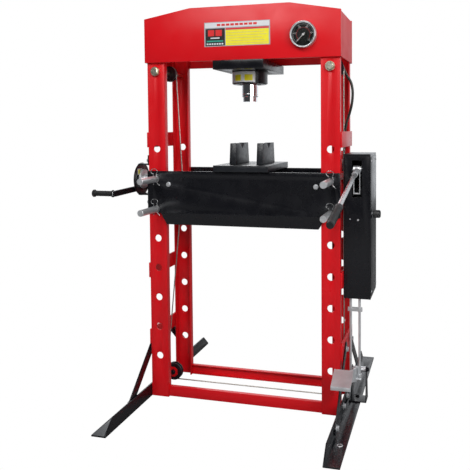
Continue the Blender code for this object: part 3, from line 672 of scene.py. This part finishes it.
def head_label():
    """A plate with plain blocks of colour, and no words."""
    face = -HEAD_FACE

    def block(name, x0, x1, z0, z1, layer, material):
        y = face - 0.0004 * layer
        Shape().box((x0, y - 0.0004, z0), (x1, y - 0.00001, z1)).done(name, "frame", material, "needle_white")

    block("label_plate", -0.162, 0.1465, 1.6385, 1.7470, 0, "grey")
    block("label_header", -0.1585, 0.1430, 1.7225, 1.7440, 1, "pale")
    block("label_black", -0.1560, -0.0640, 1.6420, 1.7185, 1, "ink")
    block("label_yellow", -0.0600, 0.1410, 1.6420, 1.7095, 1, "yellow")
    block("label_red_strip", -0.0600, 0.1410, 1.7110, 1.7185, 1, "label_red")
    y = face - 0.0008
    bars = Shape()
    for n in range(9):
        x0 = -0.101 + n * 0.0213
        bars.box((x0, y - 0.0004, 1.7290), (x0 + 0.0165, y, 1.7385))
    for n in range(2):
        x0 = -0.1440 + n * 0.036
        bars.box((x0, y - 0.0004, 1.6850), (x0 + 0.030, y, 1.7125))
    bars.done("label_red_blocks", "frame", "label_red", "needle_white")
    dots = Shape()
    for n in range(7):
        x0 = -0.1505 + n * 0.0118
        dots.box((x0, y - 0.0004, 1.6465), (x0 + 0.0082, y, 1.6535))
    dots.box((-0.1320, y - 0.0004, 1.6735), (-0.0890, y, 1.6785))
    dots.done("label_pale_blocks", "frame", "pale", "needle_white")
    green = Shape().box((-0.1505, y - 0.0004, 1.6590), (-0.0715, y, 1.6655))
    green.done("label_green_block", "frame", "label_green", "needle_white")
    lines = Shape()
    for n in range(5):
        z = 1.6490 + n * 0.0120
        lines.box((-0.0540, y - 0.0003, z), (0.1330 - 0.012 * (n % 3), y, z + 0.0010))
    lines.done("label_lines", "frame", "grey", "needle_white")


def cylinder_details():
    """A label bent round the cylinder with two plain blocks, a wiper ring, and a collar on the ram."""
    steps = 16
    row = steps + 1

    def wrap(name, radius, start, end, low, high, material):
        angles = [math.radians(start + (end - start) * n / steps) for n in range(row)]
        shape = Shape()

        def sheet(r):
            new = shape.bm.verts.new
            return [new((r * math.sin(a), -r * math.cos(a), z)) for z in (low, high) for a in angles]

        inner, outer = sheet(radius), sheet(radius + 0.0004)
        make = shape.bm.faces.new
        made = []
        for n in range(steps):
            one, other, high_one, high_other = n, n + 1, n + row, n + row + 1
            made.append(make((outer[one], outer[other], outer[high_other], outer[high_one])))
            made.append(make((inner[other], inner[one], inner[high_one], inner[high_other])))
            made.append(make((inner[one], inner[other], outer[other], outer[one])))
            made.append(make((inner[high_other], inner[high_one], outer[high_one], outer[high_other])))
        made.append(make((inner[0], outer[0], outer[row], inner[row])))
        made.append(make((outer[steps], inner[steps], inner[row + steps], outer[row + steps])))
        bmesh.ops.recalc_face_normals(shape.bm, faces=made)
        shape.done(name, "frame", material, "needle_white")

    wrap("cylinder_label", 0.0836, -52, 33, 1.4835, 1.5320, "white")
    wrap("cylinder_label_left", 0.0841, -36, -12, 1.4900, 1.5180, "yellow")
    wrap("cylinder_label_right", 0.0841, 0, 26, 1.4900, 1.5180, "yellow")
    wiper = [(0.0390, 1.4788), (0.0390, 1.4760), (0.0450, 1.4760), (0.0480, 1.4788)]
    ring = Shape().lathe(wiper, (0, 0, 0), (0, 0, 1), 48)
    ring.done("cylinder_wiper", "frame", "rubber", "rubber")
    nut = [(0.0520, 1.4789), (0.0520, 1.4762), (0.0780, 1.4762), (0.0800, 1.4789)]
    gland = Shape().lathe(nut, (0, 0, 0), (0, 0, 1), 64)
    gland.done("cylinder_gland", "frame", "black", "black_paint")
    groove = Shape().lathe(
        [(0.0381, 1.4330), (0.0388, 1.4320), (0.0388, 1.4290), (0.0381, 1.4280)], (0, 0, 0), (0, 0, 1), 48
    )
    groove.done("ram_collar", "ram", "chrome", "chrome")


def ropes():
    """Stranded wire ropes on the routes of their CAD solids, with clamps at the bed and turns on the drum."""
    upper, lower, top_z = 0.0345, 0.0390, UPPER_PULLEY_Z
    x_low, z_low = LOWER_PULLEY_AT
    spacer_x, spacer_z = BED_SPACER_AT
    drum_y, drum_z = WINCH_AXIS
    across, up = (1, 0, 0), (0, 0, 1)

    def rope(name, points, body, *nodes):
        shape = Shape().sweep(spaced(points, 0.0045), 0.0030, 12, lobes=6, pitch=0.040)
        piece = shape.done(name, body, "wire", "plain_steel", 60.0)
        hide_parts(*nodes)
        return piece

    over_left = circle_points((-COLUMN_X, 0, top_z), across, up, upper, 180, 0, 14)
    rope("winch_rope_wire", [(-0.449, -0.0324, drum_z), *over_left], "frame", "rope_winch")
    along = circle_points((-x_low, 0, z_low), across, up, lower, 180, 270, 8)
    along += circle_points((x_low, 0, z_low), across, up, lower, 270, 360, 8)
    along += circle_points((COLUMN_X, 0, top_z), across, up, upper, 0, 180, 14)
    rope("sync_rope_wire", along, "frame", "rope_sync")
    for side_name, side in (("left", -1), ("right", 1)):
        top, end = (side * (COLUMN_X - upper), 0, top_z - 0.0006), (side * 0.350, 0, 1.0275)
        piece = rope(f"lift_rope_wire_{side_name}", [top, end], None, f"rope_lift_{side_name}")
        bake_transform(piece)
        clamps = Shape()
        eye = circle_points((side * spacer_x, 0, spacer_z), across, up, 0.0172, 0, 350, 35)
        clamps.sweep(eye, 0.0030, 12, closed=True)
        clamps.rod((side * 0.3505, 0, 1.0300), (side * 0.3522, 0, 1.0640), 0.0058, 16, 0.0008)
        clamps.done(f"rope_clamp_{side_name}", "bed", "steel", "plain_steel")
    start, end = (-x_low - lower, 0, z_low + 0.0006), (-0.350, 0, 0.9985)
    piece = rope("sync_rope_wire_left", [start, end], None, "rope_sync_left")
    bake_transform(piece)
    ferrule = Shape().rod((-0.3510, 0, 0.9890), (-0.3546, 0, 0.9550), 0.0058, 16, 0.0008)
    ferrule.done("rope_clamp_low", "bed", "steel", "plain_steel")
    turns = Shape()
    points = []
    turn_count, turn_pitch, steps, radius = 7, 0.0062, 24, 0.0270
    for n in range(turn_count * steps):
        a = 2 * math.pi * n / steps
        points.append((-0.4500 - turn_pitch * n / steps, drum_y + radius * math.cos(a), drum_z + radius * math.sin(a)))
    turns.sweep(points, 0.0029, 10).done("drum_rope_turns", "winch_drum", "wire", "plain_steel", 60.0)


def pulley_details():
    """The lower wheels' red brackets and nuts."""
    for side_name, side in (("left", -1), ("right", 1)):
        x, z = side * LOWER_PULLEY_AT[0], LOWER_PULLEY_AT[1]
        post = side * 0.4530
        brackets = Shape()
        for end in (-1, 1):
            outline = [(x - side * 0.022, 0, z - 0.012), (x - side * 0.008, 0, z - 0.024), (post, 0, z - 0.024)]
            outline += [(post, 0, z + 0.024), (x - side * 0.008, 0, z + 0.024), (x - side * 0.022, 0, z + 0.012)]
            brackets.prism(outline, (0, end, 0), 0.0128, 0.0168, 0.0006)
        low_x, high_x = sorted((side * 0.4505, side * 0.4533))
        brackets.box((low_x, -0.030, 0.030), (high_x, 0.030, 0.090), 0.0004)
        brackets.done(f"pulley_bracket_{side_name}", "frame", "red", "red_paint")
        nuts = Shape()
        for end in (-1, 1):
            nuts.hex_head((x, end * 0.0170, z), (0, end, 0), 0.019, 0.0070, 0.0125)
        nuts.done(f"pulley_nuts_{side_name}", "frame", "cast", "black_paint")


def hose():
    """The hose from the cylinder to the pump's elbow, on its CAD solid's route, with a crimp at each end."""
    route = smooth_route(
        (
            (0.084, 0.040, 1.620),
            (0.120, 0.044, 1.632),
            (0.200, 0.052, 1.640),
            (0.290, 0.054, 1.640),
            (0.350, 0.053, 1.636),
            (0.394, 0.052, 1.618),
            (0.420, 0.051, 1.584),
            (0.435, 0.050, 1.547),
            (0.450, 0.050, 1.515),
            (0.470, 0.050, 1.482),
            (0.478, 0.050, 1.449),
            (0.479, 0.050, 1.417),
            (0.475, 0.050, 1.379),
            (0.465, 0.050, 1.338),
            (0.452, 0.050, 1.300),
            (0.443, 0.050, 1.255),
            (0.440, 0.050, 1.205),
            (0.4385, 0.050, 1.160),
            (0.438, 0.050, 1.130),
            (0.438, 0.050, 1.100),
        ),
        5,
    )
    piece = Shape().sweep(route, 0.0060, 20).done("hose_tube", "frame", "hose", "rubber", 60.0)
    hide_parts("hose")
    fittings = Shape()
    for first, second in ((route[0], route[4]), (route[-1], route[-4])):
        along = (second - first).normalized()
        fittings.rod(first - along * 0.001, first + along * 0.024, 0.0078, 20, 0.0008)
        fittings.rod(first - along * 0.002, first + along * 0.008, 0.0098, 6, 0.0006)
    fittings.rod((0.0720, 0.0385, 1.6155), route[0], 0.0070, 20)
    fittings.done("hose_fittings", "frame", "steel", "plain_steel")


def winch_details():
    """Gear teeth, the crank's fixings, the flange bolts and a plain label."""
    y, z = WINCH_AXIS
    grip_y, grip_z = GRIP_AXIS
    teeth = Shape()
    tooth_count = 48
    for n in range(tooth_count):
        a = 2 * math.pi * n / tooth_count
        u, v = Vector((0, math.cos(a), math.sin(a))), Vector((0, -math.sin(a), math.cos(a)))
        hub = Vector((0, y, z))
        root, tip = hub + u * 0.0452, hub + u * 0.0472
        outline = [root - v * 0.0017, tip - v * 0.0009, tip + v * 0.0009, root + v * 0.0017]
        teeth.prism(outline, (1, 0, 0), -0.5298, -0.5217)
    teeth.done("winch_gear_teeth", "winch_drum", "zinc", "zinc")
    fixings = Shape()
    fixings.hex_head((-0.5591, *CRANK_AXIS), (-1, 0, 0), 0.017, 0.0070, 0.0110)
    washer = [(0.0056, -0.5560), (0.0056, -0.5532), (0.0130, -0.5532), (0.0130, -0.5560)]
    fixings.lathe(washer, (0, grip_y, grip_z), (1, 0, 0), 28)
    fixings.done("winch_crank_fixings", "winch_crank", "zinc", "zinc")
    cap = Shape().rod((-0.6600, grip_y, grip_z), (-0.6570, grip_y, grip_z), 0.0075, 20, 0.0006)
    cap.done("winch_grip_cap", "winch_crank", "zinc", "zinc")
    ribs = Shape()
    for n in range(9):
        x = -0.6390 + n * 0.0085
        rib = circle_points((x, grip_y, grip_z), (0, 1, 0), (0, 0, 1), 0.0122, 0, 350, 35)
        ribs.sweep(rib, 0.0008, 8, closed=True)
    ribs.done("winch_grip_ribs", "winch_grip", "rubber", "rubber")
    mounts = Shape()
    for level in (1.122, 0.926):
        for dy in (-0.136, -0.060):
            mounts.hex_head((-0.4599, dy, level), (-1, 0, 0), 0.015, 0.0065, 0.0105)
    mounts.done("winch_mounting_bolts", "frame", "zinc", "zinc")
    edge = circle_points((-0.538, y, z), (0, 1, 0), (0, 0, 1), 0.0768, 0, 355, 71)
    rim = Shape().sweep(edge, 0.0030, 10, closed=True)
    rim.done("winch_guard_rim", "frame", "black", "black_paint")
    label = Shape().box((-0.5349, -0.106, 1.0500), (-0.5343, -0.062, 1.0790))
    label.done("winch_label", "frame", "white", "needle_white")
    block = Shape().box((-0.5343, -0.102, 1.0540), (-0.5339, -0.088, 1.0750))
    block.done("winch_label_block", "frame", "yellow", "needle_white")


def pump_details():
    """The cabinet's cover, lip and screws, the lever's socket and clevis, and the grip's and knob's ridges."""
    (x0, x1), (z0, z1) = CABINET_X, CABINET_Z
    cover = Shape().box((x1 + 0.0002, -0.098, 0.530), (x1 + 0.0016, 0.104, 1.143), 0.0005)
    cover.done("cabinet_side_cover", "frame", "black", "black_paint")
    lip = Shape()
    for left in (x0, x1 - 0.008):
        lip.box((left, -0.1112, z0), (left + 0.008, -0.1101, z1), 0.0003)
    lip.box((x0 + 0.008, -0.1112, z1 - 0.008), (x1 - 0.008, -0.1101, z1), 0.0003)
    lip.done("cabinet_lip", "frame", "black", "black_paint")
    screws = Shape()
    screws.rod((0.5250, -0.1101, 0.8665), (0.5250, -0.1125, 0.8665), 0.0052, 20, 0.0008, 0.0040)
    screws.rod((0.4900, -0.1101, 0.8695), (0.4900, -0.1120, 0.8695), 0.0032, 16, 0.0005, 0.0026)
    for dy in (-0.088, 0.092):
        for z in (0.548, 1.125):
            screws.rod((x1 + 0.0016, dy, z), (x1 + 0.0038, dy, z), 0.0050, 20, 0.0008, 0.0038)
    screws.done("cabinet_screws", "frame", "zinc", "zinc")
    links = Shape()
    for x in (0.5055, 0.5315):
        links.box((x, -0.1180, 0.980), (x + 0.0035, -0.1040, 1.0780), 0.0006)
    links.box((0.5055, -0.1125, 0.9800), (0.5350, -0.1090, 0.9860), 0.0006)
    links.done("pump_clevis", "frame", "zinc", "zinc")
    down = Vector((0, -math.cos(HANDLE_SLOPE), -math.sin(HANDLE_SLOPE)))
    pivot = Vector(LEVER_PIVOT)
    socket = Shape()
    sleeve = [(0.0098, 0.027), (0.0098, 0.090), (0.0125, 0.090), (0.0130, 0.086), (0.0130, 0.027)]
    socket.lathe(sleeve, pivot, down, 32)
    for x in (0.5020, 0.5380):
        socket.rod((x - 0.0012, pivot.y, pivot.z), (x + 0.0012, pivot.y, pivot.z), 0.0105, 24, 0.0005)
    socket.done("lever_socket", "pump_lever", "zinc", "zinc")
    rings = Shape()
    for n in range(18):
        centre = pivot + down * (0.530 + n * 0.0085)
        u, v = Vector((1, 0, 0)), down.cross(Vector((1, 0, 0)))
        rings.sweep(circle_points(centre, u, v, 0.01450, 0, 350, 35), 0.0007, 6, closed=True)
    rings.done("handle_grip_rings", "pump_lever", "rubber", "rubber")
    knurl = Shape()
    knob_y, knob_z = KNOB_AXIS
    for x, y, z in circle_points((0, knob_y, knob_z), (0, 1, 0), (0, 0, 1), 0.0166)[:-1]:
        knurl.rod((0.5872, y, z), (0.6130, y, z), 0.0010, 8)
    knurl.done("release_knob_knurl", "release_knob", "plastic", "knob_plastic")
    nut = [(0.0064, 0.5797), (0.0064, 0.5830), (0.0120, 0.5830), (0.0120, 0.5797)]
    flange = Shape().lathe(nut, (0, knob_y, knob_z), (1, 0, 0), 6)
    flange.done("release_knob_nut", "frame", "zinc", "zinc")


def pedal_details():
    """The pivot's bracket on the foot, the tread's lip and the nuts of the two rods."""
    bracket = Shape().box((0.4680, -0.006, 0.0068), (0.5478, 0.066, 0.0112), 0.0006)
    for x in (0.4765, 0.5435):
        outline = [(0, -0.004, 0.011), (0, 0.064, 0.011), (0, 0.046, 0.158)]
        outline += [(0, 0.038, 0.166), (0, 0.022, 0.166), (0, 0.014, 0.158)]
        bracket.prism(outline, (1, 0, 0), x, x + 0.0040, 0.0006)
    bracket.rod((0.4730, *PEDAL_AXIS), (0.5510, *PEDAL_AXIS), 0.0060, 20, 0.0006)
    bracket.hex_head((0.5475, *PEDAL_AXIS), (1, 0, 0), 0.017, 0.0075, 0.0110)
    bracket.hex_head((0.5000, 0.052, 0.0112), (0, 0, 1), 0.015, 0.0065, 0.0105)
    bracket.done("pedal_bracket", "frame", "black", "black_paint")
    lip = Shape()
    lip.box((0.4420, -0.3395, 0.1960), (0.5250, -0.3378, 0.2085), 0.0004)
    lip.done("pedal_lip", "pedal", "zinc", "zinc")
    eyes = Shape()
    for x in ROD_XS:
        eyes.rod((x, ROD_Y, 0.1596), (x, ROD_Y, 0.1760), 0.0095, 6, 0.0006)
        eyes.rod((x, ROD_Y - 0.0065, 0.465), (x, ROD_Y + 0.0065, 0.465), 0.0085, 20, 0.0006)
    eyes.done("pedal_rod_eyes", "pedal_linkage", "zinc", "zinc")


def floor_bolts():
    """The washers round the feet's anchor holes."""
    washer = [(0.0082, 0.0066), (0.0082, 0.0072), (0.0118, 0.0072), (0.0122, 0.0066)]
    anchor_x, anchor_y = 0.4925, 0.410
    rings = Shape()
    for side in (-1, 1):
        for end in (-1, 1):
            rings.lathe(washer, (side * anchor_x, end * anchor_y, 0), (0, 0, 1), 28)
    rings.done("anchor_rings", "frame", "zinc", "zinc")


set_camera()
set_world()
set_stage()
hose()
frame_shells()
plain_nodes()
bolts()
retaining_clips()
gauge()
head_label()
cylinder_details()
ropes()
pulley_details()
winch_details()
pump_details()
pedal_details()
floor_bolts()

bpy.context.view_layer.update()
